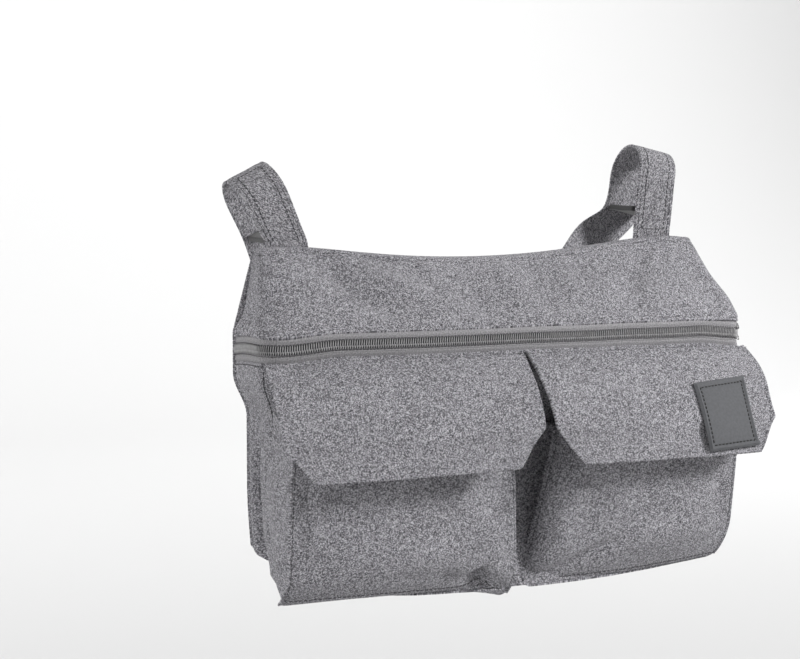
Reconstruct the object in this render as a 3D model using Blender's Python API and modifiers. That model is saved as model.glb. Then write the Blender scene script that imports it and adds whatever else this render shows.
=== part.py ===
"""Soft organizer bag: a zipped main pouch with two flapped bellows pockets, hung by one strap in two loops.

Front faces -Y, +X is right, +Z is up.  The origin lies midway between the two loops, on the axis of the
round bar that they close around.  Heights in the sizes below are measured up from the pockets' lower edge.
"""
import math

import bmesh
import bpy
from mathutils import Vector

MM = 0.001

# Cloth and clearances
CLOTH = 2.0             # doubled body cloth with its lining
GAP = 0.3               # between pieces that are sewn or lie together
TAPE = 0.8              # zip tape

# Loops and the round bar that they fit
LOOP_RADIUS = 17.5      # inside of each loop
BAR_Y = 12.0            # loop axis behind the back panel's outer face
STRAP_WIDTH = 28.0
STRAP = 2.0             # strap thickness
STRAP_TUCK = 9.0        # length of each end that is sewn into the top seam
STRAP_RISE = 2.0        # how far each end stands upright over that seam
STRAP_BEHIND = 1.5      # room between the back panel and the bow behind it
STRAP_BOW = 100.0       # size that the bow's points are shares of
TAB_WIDTH = 22.0
TAB = 4.0               # closing tab thickness
TAB_DROP = 4.0          # room between the bar and the tab

# Pouch: half widths, depths and heights
TOP_HEIGHT = 216.0
BAR_RISE = 29.0         # loop axis above the top edge
BAR_HEIGHT = TOP_HEIGHT + BAR_RISE
ORIGIN = Vector((0, BAR_Y, BAR_HEIGHT))
TOP_SAG = 16.0          # dip of the top edge between the loops
TOP_CORNER_DROP = 8.0   # rounding of its two corners
ZIP_HEIGHT = 150.0
ZIP_DROOP = 3.0         # the zip's ends fall by this on the sides
ZIP_WINDOW = 8.0        # half of the slot in the cloth that shows the zip
BACK_BOTTOM_HEIGHT = 22.0
TOP_HALF_WIDTH = 152.0
ZIP_HALF_WIDTH = 168.0
WAIST_HALF_WIDTH = 159.0
BOTTOM_HALF_WIDTH = 156.0
ZIP_DEPTH = 50.0
WAIST_DEPTH = 42.0
BOTTOM_DEPTH = 52.0
TOP_DEPTH = 2 * CLOTH + STRAP + 2 * GAP
ZIP_BULGE = 22.0        # how far the middle of the front stands out past its ends
WAIST_BULGE = 12.0
BOTTOM_BULGE = 8.0
WAIST_LOW = 60.0
WAIST_HIGH = 105.0
CORNER_RADIUS = 12.0
BOTTOM_SLANT = 1.5      # how steeply the bottom panel's corners are cut back
GUSSET_FOLD = 13.0      # how far each side folds inwards at its middle
GUSSET_FOLD_LOW = 3.0   # and at its lower end
FOLD_MARGIN = 0.18      # share of a folding strip that stays flat along each seam
SIDE_SHARE = 0.15       # share of the way round that each side takes
ARC_SHARE = 0.10        # share that each rounded front corner takes
SEAM_ROOM = 0.008       # share left open along each corner seam
SEAM_SHARE = 0.20       # where the front panel meets a gusset, half way round the corner

# How the filled pouch has slumped from an even shape
LOW_SAG = 8.0           # the lower edge's middle hangs lower than its ends
LOW_SAG_END = 110.0     # height where that sag has died out
RIGHT_REACH = 11.0      # the right end stands out further, at the zip and above it
RIGHT_START = 60.0
REACH_LOW = 100.0

# Zip
TAPE_HALF = 14.0
COIL_HALF = 3.0
COIL = 1.8
COIL_PROUD = 0.6        # how far the coil's middle stands out past the cloth
SLIDER_LENGTH = 11.0
SLIDER_WIDTH = 8.4
SLIDER_PLATE = 1.4
SLIDER_BACK = 13.0      # slider's middle ahead of the back panel when the zip is shut
BRIDGE_LENGTH = 8.0
BRIDGE_WIDTH = 2.0
BRIDGE = 1.0
BRIDGE_ROOM = 2.2       # clear height under the bridge for the puller's bar
PULLER_BAR = 1.1        # thickness of the puller and of the bar in its eye
PULLER_WIDTH = 5.4
PULLER_LENGTH = 24.0
PULLER_EYE_LENGTH = 4.6
PULLER_EYE_WIDTH = 2.9
PULLER_SHOULDER = 2.0   # the tongue keeps its width this far past the eye
PULLER_WAIST = 5.0      # it is narrowest this far past the eye
PULLER_WAIST_SHARE = 0.8
PULLER_TIP = 4.0        # length of its wide end
SLIDER_TAPER = 0.8      # the slider's narrow end, as a share of its width
SLIDER_EDGE = 0.35      # rounding of its edges

# The pouch stands upright along the zip's band, so that cloth, tapes and coil lie flat on each other
BAND_ROOM = 1.0
BAND_LOW = ZIP_HEIGHT - TAPE_HALF - ZIP_DROOP - BAND_ROOM
BAND_HIGH = ZIP_HEIGHT + TAPE_HALF
YOKE_ROWS = 8
BAND_SHARE = 0.1        # share of a panel's rows that cover the band

# Pockets
POCKET_TOP = 84.0
POCKET_BOTTOM_Y = -68.0
POCKET_TOP_Y = -88.0
POCKET_PUFF = 5.0
POCKET_FOLD = 8.0       # bellows of the pocket's side strips
POCKET_CORNER = 7.0
POCKET_CLOTH = 1.6
POCKET_SIDE_SHARE = 0.27    # share of a folded strip along each side
POCKET_CORNER_SHARE = 0.05  # share of it round each lower corner
POCKET_FOLD_HEIGHT = 20.0   # the bellows runs out into the bottom strip below this

# Flaps
FLAP_TOP = ZIP_HEIGHT - ZIP_WINDOW
FLAP_OUT_TOP = 166.0
FLAP_OUT_WIDE = 172.0
FLAP_OUT_BOTTOM = 156.0
FLAP_IN_TOP = 1.5
FLAP_IN_WIDE = 4.0
FLAP_IN_BOTTOM = 23.0
FLAP_CHAMFER_OUT = 97.0
FLAP_CHAMFER_IN = 101.0
FLAP_BOTTOM_OUT = 76.0
FLAP_BOTTOM_IN = 79.0
FLAP_CHAMFER_DEPTH = 99.0
FLAP_BOTTOM_DEPTH = 106.0
FLAP_BOTTOM_BULGE = 8.0
FLAP_CHAMFER_SHARE = 0.25   # share of a flap's rows that its chamfered corners take
FLAP_SIDE_POWER = 1.6       # how late the outer edge turns outwards
FLAP_PROFILE_POWER = 1.35   # how late the flap leaves the pouch's front

# Label patch on the right flap
PATCH_WIDTH = 36.0
PATCH_SIDE = 18.0       # cloth left between the patch and the flap's outer edge
PATCH_LEFT = FLAP_OUT_WIDE - PATCH_WIDTH - PATCH_SIDE
PATCH_BOTTOM = 82.0
PATCH_HEIGHT = 40.0
PATCH = 1.4

# Pocket sides: at the lower edge and at the mouth, from the pouch's middle
POCKETS = {
    "left": {"low": (-160.0, -5.0), "high": (-164.0, -18.0)},
    "right": {"low": (6.0, 156.0), "high": (20.0, 151.0)},
}

# Loops: middle of each, tilt of the bar there in degrees, rise of the loop and place of its sewn end
LOOPS = {
    "left": {"x": 6.0 - TOP_HALF_WIDTH, "tilt": 26.0, "rise": -5.0, "base_x": 20.0 - TOP_HALF_WIDTH},
    "right": {"x": TOP_HALF_WIDTH - 16.0, "tilt": -14.0, "rise": 5.0, "base_x": TOP_HALF_WIDTH - 18.0},
}

# The bow behind the bag: from which loop, place in shares of STRAP_BOW, and direction of the strap's width
BOW_POINTS = [
    ("left", (0.04, 0.10, -0.30), (1, 0, 0.2)),
    ("left", (0.14, 0.0, -0.66), (0.9, 0, 0.4)),
    ("left", (0.44, 0.0, -0.98), (0.6, 0, 0.8)),
    ("left", (0.86, 0.0, -1.08), (0.05, 0, 1)),
    ("left", (1.30, 0.0, -0.92), (-0.45, 0, 0.9)),
    ("right", (-0.66, 0.03, -0.50), (-0.6, 0, 0.8)),
    ("right", (-0.28, 0.0, -0.19), (-0.7, 0, 0.72)),
]
BOW_END = 0.07          # the last point lies this share ahead of the right loop's rear stretch

COLORS = {
    "body_cloth": ((0.40, 0.40, 0.405), 0.95),
    "strap_cloth": ((0.36, 0.36, 0.365), 0.95),
    "zip_tape": ((0.42, 0.40, 0.38), 0.9),
    "zip_teeth": ((0.36, 0.35, 0.34), 0.5),
    "zip_metal": ((0.25, 0.25, 0.26), 0.35),
    "label_rubber": ((0.16, 0.16, 0.165), 0.6),
    "black_tab": ((0.02, 0.02, 0.022), 0.8),
}


def new_collection():
    """Clear the scene and start the bag's collection."""
    for thing in list(bpy.data.objects):
        bpy.data.objects.remove(thing, do_unlink=True)
    group = bpy.data.collections.new("organizer_bag")
    bpy.context.scene.collection.children.link(group)
    return group


def make_materials():
    """One Principled material for each finish."""
    made = {}
    for name, (color, roughness) in COLORS.items():
        material = bpy.data.materials.new(name)
        material.use_nodes = True
        shader = material.node_tree.nodes["Principled BSDF"]
        shader.inputs["Base Color"].default_value = (*color, 1.0)
        shader.inputs["Roughness"].default_value = roughness
        shader.inputs["Metallic"].default_value = 1.0 if name == "zip_metal" else 0.0
        made[name] = material
    return made


def ease(stops, at):
    """Value at a place between stops, a list of (place, value), with soft turns at each stop."""
    if at <= stops[0][0]:
        return stops[0][1]
    for (low, first), (high, second) in zip(stops, stops[1:]):
        if at <= high:
            share = (at - low) / (high - low)
            share = share * share * (3 - 2 * share)
            return first + (second - first) * share
    return stops[-1][1]


def mix(first, second, share):
    """Straight blend of two numbers."""
    return first + (second - first) * share


def crown(x, half):
    """1 at the middle of a width, 0 at its ends."""
    return max(0.0, 1.0 - (x / half) ** 2)


def half_width(height):
    return ease([(0, BOTTOM_HALF_WIDTH), (WAIST_LOW, WAIST_HALF_WIDTH), (WAIST_HIGH, WAIST_HALF_WIDTH),
                 (BAND_LOW, ZIP_HALF_WIDTH), (BAND_HIGH, ZIP_HALF_WIDTH), (TOP_HEIGHT, TOP_HALF_WIDTH)], height)


def depth(height):
    return ease([(0, BOTTOM_DEPTH), (WAIST_LOW, WAIST_DEPTH), (WAIST_HIGH, WAIST_DEPTH),
                 (BAND_LOW, ZIP_DEPTH), (BAND_HIGH, ZIP_DEPTH), (TOP_HEIGHT, TOP_DEPTH)], height)


def bulge(height):
    return ease([(0, BOTTOM_BULGE), (WAIST_LOW, WAIST_BULGE), (BAND_LOW, ZIP_BULGE), (BAND_HIGH, ZIP_BULGE),
                 (TOP_HEIGHT, 0)], height)


def gusset_fold(height):
    return ease([(0, GUSSET_FOLD_LOW), (WAIST_LOW, GUSSET_FOLD), (WAIST_HIGH, GUSSET_FOLD), (BAND_LOW, 0)],
                height)


def crease(share):
    """Depth of a bellows fold across a strip: flat along both seams, deepest at the middle."""
    inner = max(0.0, min(1.0, (share - FOLD_MARGIN) / (1 - 2 * FOLD_MARGIN)))
    return math.sin(math.pi * inner) ** 2


def bottom_height(y):
    """The pouch's bottom rises from its front edge to its back edge."""
    return mix(BACK_BOTTOM_HEIGHT, 0.0, min(1.0, -y / BOTTOM_DEPTH))


def top_height(x):
    """The top edge sags between the loops and rounds off at its corners."""
    across = min(1.0, abs(x) / TOP_HALF_WIDTH)
    return TOP_HEIGHT - TOP_SAG * (1 - across ** 2) - TOP_CORNER_DROP * across ** 8


def front_y(x, height):
    """Outer face of the pouch's front."""
    return -depth(height) - bulge(height) * crown(x, half_width(height))


def around(share, height, inset=0.0):
    """Point on the pouch at a share of the way round: left side, front, right side; inset goes inwards."""
    near = min(share, 1 - share)
    half = half_width(height) - inset
    front = -depth(height) + inset
    back = -CLOTH - GAP
    radius = max(0.5, min(CORNER_RADIUS - inset, 0.45 * (back - front)))
    if near < SIDE_SHARE:
        along = near / SIDE_SHARE
        x = -half + gusset_fold(height) * crease(along)
        y = mix(back, front + radius, along)
    elif near < SIDE_SHARE + ARC_SHARE:
        angle = (near - SIDE_SHARE) / ARC_SHARE * math.pi / 2
        x = -half + radius * (1 - math.cos(angle))
        y = front + radius - radius * math.sin(angle)
        y -= bulge(height) * crown(x, half)
    else:
        along = (near - SIDE_SHARE - ARC_SHARE) / (0.5 - SIDE_SHARE - ARC_SHARE)
        x = -(half - radius) * (1 - along)
        y = front - bulge(height) * crown(x, half)
    return Vector((-x if share > 0.5 else x, y, height))


def zip_height(share, offset):
    """Height on the zip band, which droops on the two sides."""
    near = min(share, 1 - share)
    return ZIP_HEIGHT + offset - ZIP_DROOP * max(0.0, 1 - near / SIDE_SHARE) ** 2


def add_object(group, name, mesh, material):
    """Link a mesh as a named object of the bag."""
    thing = bpy.data.objects.new(name, mesh)
    mesh.materials.append(material)
    group.objects.link(thing)
    return thing


def panel(group, name, material, columns, rows, place, thickness, sewn=True):
    """Sheet of cloth: a grid laid out by place(u, v) on its outer face, thickened inwards by Solidify."""
    grid = bmesh.new()
    bmesh.ops.create_grid(grid, x_segments=columns, y_segments=rows, size=0.5)
    for vertex in grid.verts:
        point = Vector(place(vertex.co.x + 0.5, vertex.co.y + 0.5))
        point = settle(point) if sewn else point
        vertex.co = (point - ORIGIN) * MM
    mesh = bpy.data.meshes.new(name)
    grid.to_mesh(mesh)
    grid.free()
    mesh.shade_smooth()
    thing = add_object(group, name, mesh, material)
    shell = thing.modifiers.new("cloth", "SOLIDIFY")
    shell.thickness = thickness * MM
    shell.offset = -1.0
    shell.use_even_offset = True
    return thing


def settle(point):
    """Slump of the filled pouch, the same for all the cloth that is sewn together."""
    x, y, height = point
    sag = LOW_SAG * crown(x, ZIP_HALF_WIDTH) * ease([(0, 1), (LOW_SAG_END, 0)], height)
    rise = ease([(REACH_LOW, 0), (BAND_LOW, 1), (BAND_HIGH, 1), (TOP_HEIGHT, 0.6)], height)
    reach = RIGHT_REACH * rise * ease([(RIGHT_START, 0), (ZIP_HALF_WIDTH - CORNER_RADIUS, 1)], x)
    return Vector((x + reach, y, height - sag))


def make_pouch(group, cloth):
    """Back, yoke, front, two folding gussets and the bottom."""
    seam = SEAM_ROOM / 2

    def back(u, v):
        across = 1 - 2 * u
        height = mix(BACK_BOTTOM_HEIGHT, top_height(across * TOP_HALF_WIDTH), v)
        half = half_width(height) if v > 0 else BOTTOM_HALF_WIDTH
        return across * half, 0.0, height

    def yoke(u, v):
        band = zip_height(u, TAPE_HALF + BAND_ROOM)
        if v < 1 / YOKE_ROWS:
            return around(u, mix(zip_height(u, ZIP_WINDOW), band, v * YOKE_ROWS))
        x = around(u, TOP_HEIGHT).x
        return around(u, mix(band, top_height(x), (v * YOKE_ROWS - 1) / (YOKE_ROWS - 1)))

    def upright(low, high, v):
        """Height of a row under the zip: the last row covers the zip's band."""
        if v > 1 - BAND_SHARE:
            return mix(BAND_LOW - BAND_ROOM, high, (v - 1 + BAND_SHARE) / BAND_SHARE)
        return mix(low, BAND_LOW - BAND_ROOM, v / (1 - BAND_SHARE))

    def front(u, v):
        share = mix(SEAM_SHARE + seam, 1 - SEAM_SHARE - seam, u)
        return around(share, upright(0.0, ZIP_HEIGHT - ZIP_WINDOW, v))

    def gusset(u, v, right):
        share = mix(1 - SEAM_SHARE + seam, 1.0, u) if right else mix(0.0, SEAM_SHARE - seam, u)
        low = bottom_height(around(share, 0.0).y)
        return around(share, upright(low, zip_height(share, -ZIP_WINDOW), v))

    def bottom(u, v):
        edge = CLOTH + 4 * GAP
        x = mix(-1, 1, u) * (BOTTOM_HALF_WIDTH - edge - gusset_fold(BACK_BOTTOM_HEIGHT))
        corner = max(0.0, abs(x) - BOTTOM_HALF_WIDTH + CORNER_RADIUS + edge)
        y = mix(-edge, front_y(x, 0.0) + edge + BOTTOM_SLANT * corner, v)
        return x, y, bottom_height(y)

    panel(group, "back_panel", cloth, 16, 10, back, CLOTH)
    panel(group, "yoke", cloth, 40, YOKE_ROWS, yoke, CLOTH)
    panel(group, "front_panel", cloth, 24, 10, front, CLOTH)
    panel(group, "left_gusset", cloth, 12, 10, lambda u, v: gusset(u, v, False), CLOTH)
    panel(group, "right_gusset", cloth, 12, 10, lambda u, v: gusset(u, v, True), CLOTH)
    panel(group, "bottom_panel", cloth, 12, 4, bottom, CLOTH)


def make_zip(group, tape, teeth):
    """Two tapes behind the cloth and the closed coil between them."""
    behind = CLOTH + 2 * GAP

    def upper(u, v):
        return around(u, zip_height(u, mix(GAP / 2, TAPE_HALF, v)), behind)

    def lower(u, v):
        return around(u, zip_height(u, mix(-TAPE_HALF, -GAP / 2, v)), behind)

    def coil(u, v):
        proud = COIL_PROUD * math.sin(math.pi * v)
        return around(u, zip_height(u, mix(-COIL_HALF, COIL_HALF, v)), behind - 2 * GAP - COIL - proud)

    panel(group, "zip_tape_upper", tape, 40, 2, upper, TAPE)
    panel(group, "zip_tape_lower", tape, 40, 2, lower, TAPE)
    panel(group, "zip_coil", teeth, 40, 4, coil, COIL)


def block(mesh, low, high):
    """Add a box between two corners, in millimetres."""
    made = bmesh.ops.create_cube(mesh, size=1.0)["verts"]
    for vertex in made:
        vertex.co = Vector([mix(a, b, c + 0.5) for a, b, c in zip(low, high, vertex.co)]) * MM
    return made


def outline_object(group, name, material, points, holes, thickness, place):
    """Flat outline in the YZ plane, filled around its holes and extruded along X."""
    curve = bpy.data.curves.new(name, "CURVE")
    curve.dimensions = "2D"
    curve.fill_mode = "BOTH"
    curve.extrude = thickness / 2 * MM
    for loop in [points, *holes]:
        spline = curve.splines.new("POLY")
        spline.points.add(len(loop) - 1)
        for knot, (first, second) in zip(spline.points, loop):
            knot.co = (first * MM, second * MM, 0, 1)
        spline.use_cyclic_u = True
    guide = bpy.data.objects.new(name + "_guide", curve)
    group.objects.link(guide)
    bpy.context.view_layer.update()
    mesh = bpy.data.meshes.new_from_object(guide.evaluated_get(bpy.context.evaluated_depsgraph_get()))
    bpy.data.objects.remove(guide, do_unlink=True)
    solid = bmesh.new()
    solid.from_mesh(mesh)
    bmesh.ops.remove_doubles(solid, verts=solid.verts, dist=0.00001)
    bmesh.ops.recalc_face_normals(solid, faces=solid.faces)
    solid.to_mesh(mesh)
    solid.free()
    thing = add_object(group, name, mesh, material)
    thing.location = place * MM
    thing.rotation_euler = (math.pi / 2, 0, math.pi / 2)
    return thing


def make_slider(group, metal):
    """Slider over the coil on the right side, with a bridge that holds the puller's bar."""
    outside = ZIP_HALF_WIDTH + RIGHT_REACH + COIL_PROUD + GAP
    place = Vector((0, -SLIDER_BACK, zip_height(1 - SIDE_SHARE / 2, 0.0))) - ORIGIN
    plate_top = outside + SLIDER_PLATE
    bridge_top = plate_top + BRIDGE_ROOM + BRIDGE
    half_bridge = BRIDGE_LENGTH / 2
    room = half_bridge - BRIDGE
    # Outer side of the arch, then back along the inside that the puller's bar lies in
    outline = [
        (-half_bridge, plate_top), (-half_bridge + BRIDGE / 2, bridge_top - BRIDGE / 2),
        (-half_bridge + 1.5 * BRIDGE, bridge_top), (half_bridge - 1.5 * BRIDGE, bridge_top),
        (half_bridge - BRIDGE / 2, bridge_top - BRIDGE / 2), (half_bridge, plate_top),
        (room, plate_top), (room - BRIDGE / 2, plate_top + BRIDGE_ROOM),
        (-room + BRIDGE / 2, plate_top + BRIDGE_ROOM), (-room, plate_top),
    ]
    bridge = extruded(group, "slider_bridge_guide", outline, -BRIDGE_WIDTH / 2, BRIDGE_WIDTH / 2)
    bridge.location = place * MM
    plate = bmesh.new()
    corners = block(plate, (outside, -SLIDER_LENGTH / 2, -SLIDER_WIDTH / 2),
                    (plate_top, SLIDER_LENGTH / 2, SLIDER_WIDTH / 2))
    for vertex in corners:
        if vertex.co.y > 0:
            vertex.co.z *= SLIDER_TAPER
    mesh = bpy.data.meshes.new("zip_slider")
    plate.to_mesh(mesh)
    plate.free()
    slider = add_object(group, "zip_slider", mesh, metal)
    slider.location = place * MM
    bevel = slider.modifiers.new("edges", "BEVEL")
    bevel.width = SLIDER_EDGE * MM
    bevel.segments = 2
    join = slider.modifiers.new("bridge", "BOOLEAN")
    join.operation = "UNION"
    join.object = bridge
    return slider


def extruded(group, name, outline, low, high):
    """Helper solid for a Boolean: an outline of (y, x) points extruded along Z."""
    solid = bmesh.new()
    lower = [solid.verts.new(Vector((x, y, low)) * MM) for y, x in outline]
    face = solid.faces.new(lower)
    grown = bmesh.ops.extrude_face_region(solid, geom=[face])["geom"]
    bmesh.ops.translate(solid, vec=(0, 0, (high - low) * MM),
                        verts=[part for part in grown if isinstance(part, bmesh.types.BMVert)])
    bmesh.ops.recalc_face_normals(solid, faces=solid.faces)
    mesh = bpy.data.meshes.new(name)
    solid.to_mesh(mesh)
    solid.free()
    helper = bpy.data.objects.new(name, mesh)
    helper.hide_render = True
    helper.display_type = "WIRE"
    group.objects.link(helper)
    return helper


def make_puller(group, metal):
    """Flat tongue with an eye, whose end bar lies under the slider's bridge and is the hinge's axis."""
    axis_x = ZIP_HALF_WIDTH + RIGHT_REACH + COIL_PROUD + GAP + SLIDER_PLATE + BRIDGE_ROOM / 2
    half = PULLER_WIDTH / 2
    end = -PULLER_LENGTH
    shoulder, waist = -PULLER_EYE_LENGTH - PULLER_SHOULDER, -PULLER_EYE_LENGTH - PULLER_WAIST
    narrow = PULLER_WAIST_SHARE * half
    points = [(PULLER_BAR / 2, -half), (PULLER_BAR / 2, half), (shoulder, half), (waist, narrow),
              (end + PULLER_TIP, half)]
    points += [(end + half * (1 - math.sin(a)), half * math.cos(a))
               for a in [math.pi * k / 8 for k in range(1, 8)]]
    points += [(end + PULLER_TIP, -half), (waist, -narrow), (shoulder, -half)]
    eye_half = PULLER_EYE_WIDTH / 2
    eye = [(-PULLER_BAR / 2, -eye_half), (-PULLER_BAR / 2, eye_half),
           (-PULLER_EYE_LENGTH, eye_half), (-PULLER_EYE_LENGTH, -eye_half)]
    place = Vector((axis_x, -SLIDER_BACK, zip_height(1 - SIDE_SHARE / 2, 0.0))) - ORIGIN
    return outline_object(group, "zip_puller", metal, points, [eye], PULLER_BAR, place)


def pocket_edges(side, height):
    """Left and right edge of a pocket's front at a height."""
    sizes = POCKETS[side]
    share = max(0.0, min(1.0, height / POCKET_TOP))
    return [mix(low, high, share) for low, high in zip(sizes["low"], sizes["high"])]


def pocket_front_y(across, height):
    """Outer face of a pocket's front; across runs from 0 to 1."""
    share = max(0.0, min(1.0, height / POCKET_TOP))
    return mix(POCKET_BOTTOM_Y, POCKET_TOP_Y, share) - POCKET_PUFF * 4 * across * (1 - across)


def make_pocket(group, cloth, side):
    """Front and a folded strip that runs down one side, along the bottom and up the other."""
    side_share, corner_share = POCKET_SIDE_SHARE, POCKET_CORNER_SHARE

    def front(u, v):
        height = v * POCKET_TOP
        left, right = pocket_edges(side, height)
        return mix(left, right, u), pocket_front_y(u, height), height

    def route(share):
        """Outline of the pocket seen from the front: place across, height and inward direction."""
        near = min(share, 1 - share)
        if near < side_share:
            height = mix(POCKET_TOP, POCKET_CORNER, near / side_share)
            inset, lean = 0.0, (1.0, 0.0)
        elif near < side_share + corner_share:
            angle = (near - side_share) / corner_share * math.pi / 2
            height = POCKET_CORNER * (1 - math.sin(angle))
            inset = POCKET_CORNER * (1 - math.cos(angle))
            lean = (math.cos(angle), math.sin(angle))
        else:
            height, inset, lean = 0.0, None, (0.0, 1.0)
        left, right = pocket_edges(side, height)
        if inset is None:
            along = (share - side_share - corner_share) / (1 - 2 * side_share - 2 * corner_share)
            x = mix(left + POCKET_CORNER, right - POCKET_CORNER, along)
        else:
            x = left + inset if share < 0.5 else right - inset
        return x, height, (lean[0] if share < 0.5 else -lean[0], lean[1])

    def strip(u, v):
        x, height, lean = route(u)
        left, right = pocket_edges(side, height)
        across = (x - left) / (right - left)
        near_y = pocket_front_y(across, height) + POCKET_CLOTH + 2 * GAP
        far_y = front_y(x, height) - 3 * GAP
        fold = POCKET_FOLD * abs(lean[0]) * crease(v) * min(1.0, height / POCKET_FOLD_HEIGHT)
        return x + fold * lean[0], mix(far_y, near_y, v), height + fold * lean[1]

    panel(group, side + "_pocket", cloth, 14, 7, front, POCKET_CLOTH)
    panel(group, side + "_pocket_gusset", cloth, 36, 6, strip, POCKET_CLOTH)


def flap_point(side, u, v, lift=0.0):
    """Outer face of a flap; u runs from its left edge to its right, v from its lower edge to its top."""
    outer = u if side == "right" else 1 - u
    if v < FLAP_CHAMFER_SHARE:
        share = v / FLAP_CHAMFER_SHARE
        outer_x = mix(FLAP_OUT_BOTTOM, FLAP_OUT_WIDE, share)
        inner_x = mix(FLAP_IN_BOTTOM, FLAP_IN_WIDE, share)
        outer_h = mix(FLAP_BOTTOM_OUT, FLAP_CHAMFER_OUT, share)
        inner_h = mix(FLAP_BOTTOM_IN, FLAP_CHAMFER_IN, share)
    else:
        share = (v - FLAP_CHAMFER_SHARE) / (1 - FLAP_CHAMFER_SHARE)
        outer_x = mix(FLAP_OUT_WIDE, FLAP_OUT_TOP, share ** FLAP_SIDE_POWER)
        inner_x = mix(FLAP_IN_WIDE, FLAP_IN_TOP, share)
        outer_h = mix(FLAP_CHAMFER_OUT, FLAP_TOP, share)
        inner_h = mix(FLAP_CHAMFER_IN, FLAP_TOP, share)
    x = mix(inner_x, outer_x, outer)
    height = mix(inner_h, outer_h, outer)
    x = x if side == "right" else -x
    return flap_surface(x, height, lift)


def flap_surface(x, height, lift=0.0):
    """Outer face of both flaps at a place: on the pouch at the top, standing off towards the lower edge."""
    top_y = depth(FLAP_TOP) + CLOTH - GAP
    side_y = ease([(FLAP_BOTTOM_OUT, FLAP_BOTTOM_DEPTH), (FLAP_CHAMFER_OUT, FLAP_CHAMFER_DEPTH)], height)
    if height > FLAP_CHAMFER_OUT:
        share = (height - FLAP_CHAMFER_OUT) / (FLAP_TOP - FLAP_CHAMFER_OUT)
        side_y = mix(FLAP_CHAMFER_DEPTH, top_y, share ** FLAP_PROFILE_POWER)
    swell = ease([(FLAP_BOTTOM_OUT, FLAP_BOTTOM_BULGE), (FLAP_TOP, ZIP_BULGE)], height)
    here = Vector((x, -side_y - swell * crown(x, ZIP_HALF_WIDTH), height))
    if not lift:
        return here
    across = flap_surface(x + 1, height) - here
    up = flap_surface(x, height + 1) - here
    return here + across.cross(up).normalized() * lift


def make_flaps(group, cloth, rubber):
    """Two chamfered flaps over the pockets, and the label patch on the right one."""
    panel(group, "left_flap", cloth, 12, 12, lambda u, v: flap_point("left", u, v), CLOTH)
    panel(group, "right_flap", cloth, 12, 12, lambda u, v: flap_point("right", u, v), CLOTH)

    def patch(u, v):
        x = PATCH_LEFT + PATCH_WIDTH * u
        return flap_surface(x, PATCH_BOTTOM + PATCH_HEIGHT * v, PATCH + 2 * GAP)

    panel(group, "label_patch", rubber, 4, 5, patch, PATCH)


def loop_frame(side):
    """Centre of a loop on the bar's axis, the direction along the bar and the direction across it."""
    loop = LOOPS[side]
    tilt = math.radians(loop["tilt"])
    centre = Vector((loop["x"], BAR_Y, BAR_HEIGHT + loop["rise"]))
    along = Vector((math.cos(tilt), 0, math.sin(tilt)))
    across = Vector((-math.sin(tilt), 0, math.cos(tilt)))
    return centre, along, across


def strap_route():
    """The strap's middle line and its width direction: sewn end, loop, drop behind the bag, loop, end."""
    radius = LOOP_RADIUS + STRAP / 2
    middle_y = -CLOTH - GAP - STRAP / 2
    behind_y = GAP + STRAP / 2 + STRAP_BEHIND
    flat = Vector((1, 0, 0))
    halves = []
    for side in ("left", "right"):
        centre, along, across = loop_frame(side)
        base_x = LOOPS[side]["base_x"]
        top = top_height(base_x)
        knots = [(Vector((base_x, middle_y, top - STRAP_TUCK)), flat),
                 (Vector((base_x, middle_y, top + STRAP_RISE)), flat)]
        start = centre + Vector((0, -radius, 0))
        for share in (0.35, 0.7):
            point = Vector((base_x, middle_y, top + STRAP_RISE)).lerp(start, share)
            knots.append((point, flat.lerp(along, share).normalized()))
        for step in range(9):
            angle = math.pi * step / 8
            point = centre + Vector((0, -radius * math.cos(angle), 0)) + across * radius * math.sin(angle)
            knots.append((point, along))
        knots.append((point - across * (LOOP_RADIUS + TAB_DROP + TAB), along))
        halves.append(knots)
    left, right = halves
    behind = {"left": Vector((left[-1][0].x, behind_y, left[-1][0].z)),
              "right": Vector((right[-1][0].x, behind_y, right[-1][0].z))}
    drape = []
    for side, place, width in BOW_POINTS:
        drape.append((behind[side] + Vector(place) * STRAP_BOW, Vector(width)))
    drape[-1][0].y = right[-1][0].y - BOW_END * STRAP_BOW
    turned = [(point, -width) for point, width in reversed(right)]
    return left + drape + turned


def make_strap(group, cloth):
    """One flat strap in two loops, which hangs in a bow behind the bag between them."""
    knots = strap_route()
    points = [knot[0] for knot in knots]
    widths = [knot[1].normalized() for knot in knots]
    # Each width points to the same side as the one before it, so that the strap's edges never cross
    for index in range(1, len(widths)):
        if widths[index].dot(widths[index - 1]) < 0:
            widths[index] = -widths[index]

    def strap(u, v):
        at = v * (len(points) - 1)
        first = min(int(at), len(points) - 2)
        share = at - first
        around_points = [points[max(0, min(len(points) - 1, first + k))] for k in (-1, 0, 1, 2)]
        centre = catmull_rom(around_points, share)
        width = widths[first].lerp(widths[first + 1], share).normalized()
        return centre + width * STRAP_WIDTH * (u - 0.5)

    band = panel(group, "carry_strap", cloth, 2, 2 * (len(points) - 1), strap, STRAP, sewn=False)
    band.modifiers["cloth"].offset = 0.0
    return band


def catmull_rom(points, share):
    """Smooth curve through the middle two of four points."""
    before, first, second, after = points
    square, cube = share ** 2, share ** 3
    return 0.5 * (2 * first + (second - before) * share
                  + (2 * before - 5 * first + 4 * second - after) * square
                  + (3 * first - before - 3 * second + after) * cube)


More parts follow.
